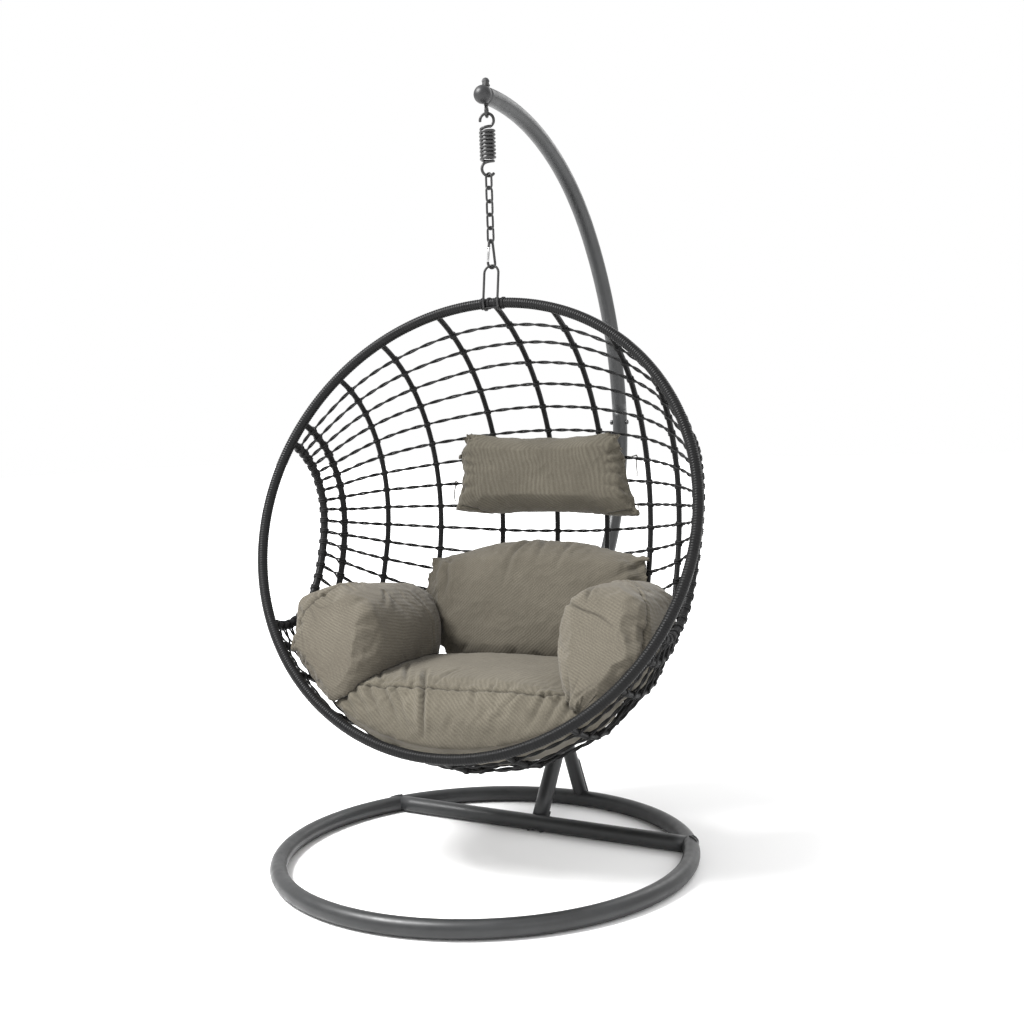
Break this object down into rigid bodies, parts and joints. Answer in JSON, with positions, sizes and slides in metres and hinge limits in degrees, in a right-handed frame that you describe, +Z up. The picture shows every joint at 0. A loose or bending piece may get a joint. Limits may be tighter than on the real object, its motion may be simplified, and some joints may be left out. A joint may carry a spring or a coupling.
{
  "type": "hanging egg chair",
  "caption": "Garden egg chair: a round woven basket with cushions, hung by a spring and chain from a curved tube stand on a ring base.",
  "frame": {"origin": "on the floor, at the middle of the whole chair's box", "axes": "+Z up; the chair faces -Y; the mast stands at +Y; +X is to the right as seen from the front"},
  "size_m": [1.1352, 1.3688, 1.9204],
  "materials": {
    "stand_steel": "charcoal grey powder coat, satin",
    "stopper": "moulded dark grey plastic",
    "hardware": "dark coated steel",
    "wicker": "black synthetic wicker wound on steel, semi-gloss",
    "fabric": "taupe outdoor fabric with a fine diagonal rib"
  },
  "bodies": {
    "stand": {"base_ring": "stand_steel", "cross_tube": "stand_steel", "mast_lower": "stand_steel", "mast_upper": "stand_steel", "mast_joint_bolt": "hardware", "mast_joint_nut": "hardware", "rear_strut": "stand_steel", "mast_end_ball": "stopper"},
    "hook": {"eye_bolt": "hardware", "eye_washer": "hardware", "eye_nut": "hardware", "eye_cap": "hardware"},
    "spring": {"spring": "hardware"},
    "link_1": {"chain_link_1": "hardware"},
    "link_2": {"chain_link_2": "hardware"},
    "link_3": {"chain_link_3": "hardware"},
    "link_4": {"chain_link_4": "hardware"},
    "link_5": {"chain_link_5": "hardware"},
    "snap_hook": {"snap_hook_body": "hardware", "gate_pin": "hardware"},
    "snap_gate": {"snap_hook_gate": "hardware"},
    "basket": {"arm_frame_left": "wicker", "arm_frame_right": "wicker", "back_cushion": "fabric", "hanger_loop": "hardware", "head_pillow": "fabric", "left_bolster": "fabric", "pillow_tie_left": "fabric", "pillow_tie_right": "fabric", "rib_centre": "wicker", "rib_left_far": "wicker", "rib_left_mid": "wicker", "rib_left_near": "wicker", "rib_left_side": "wicker", "rib_right_far": "wicker", "rib_right_mid": "wicker", "rib_right_near": "wicker", "rib_right_side": "wicker", "right_bolster": "fabric", "rim": "wicker", "seat_cushion": "fabric", "weave_front": "wicker", "weave_lower_back": "wicker", "weave_seat": "wicker", "weave_top": "wicker", "weave_upper_back": "wicker"}
  },
  "joints": [
    {"name": "hook_swivel", "type": "hinge", "parent": "stand", "child": "hook", "pos_m": [-0.02632, -0.03806, 1.88], "axis": [0, 0, 1], "range_deg": [-70, 70]},
    {"name": "spring_swing", "type": "hinge", "parent": "hook", "child": "spring", "pos_m": [-0.02632, -0.03806, 1.8303], "axis": [1, 0, 0], "range_deg": [-20, 4]},
    {"name": "spring_bounce", "type": "slide", "parent": "spring", "child": "link_1", "axis": [0, 0, -1], "range_m": [0, 0.05], "stiffness_N_per_m": 20000, "springref_m": -0.012, "deforming": ["spring"]},
    {"name": "link_2_turn", "type": "hinge", "parent": "link_1", "child": "link_2", "pos_m": [-0.02632, -0.03806, 1.65335], "axis": [0.9659, -0.2588, 0], "range_deg": [-12, 4]},
    {"name": "link_3_turn", "type": "hinge", "parent": "link_2", "child": "link_3", "pos_m": [-0.02632, -0.03806, 1.62065], "axis": [0.2588, 0.9659, 0], "range_deg": [-12, 12]},
    {"name": "link_4_turn", "type": "hinge", "parent": "link_3", "child": "link_4", "pos_m": [-0.02632, -0.03806, 1.58795], "axis": [0.9744, -0.225, 0], "range_deg": [-12, 4]},
    {"name": "link_5_turn", "type": "hinge", "parent": "link_4", "child": "link_5", "pos_m": [-0.02632, -0.03806, 1.55525], "axis": [0.225, 0.9744, 0], "range_deg": [-12, 12]},
    {"name": "snap_hook_turn", "type": "hinge", "parent": "link_5", "child": "snap_hook", "pos_m": [-0.02632, -0.03806, 1.52277], "axis": [0.9816, -0.1908, 0], "range_deg": [-7, 4]},
    {"name": "gate_turn", "type": "hinge", "parent": "snap_hook", "child": "snap_gate", "pos_m": [-0.02792, -0.04628, 1.50576], "axis": [0.9816, -0.1908, 0], "range_deg": [0, 22], "stiffness_Nm_per_rad": 0.05, "springref_deg": -17.19},
    {"name": "basket_rock", "type": "hinge", "parent": "snap_hook", "child": "basket", "pos_m": [-0.02632, -0.03806, 1.4607], "axis": [0.9912, 0.1323, 0], "range_deg": [-15, 5.5]}
  ]
}
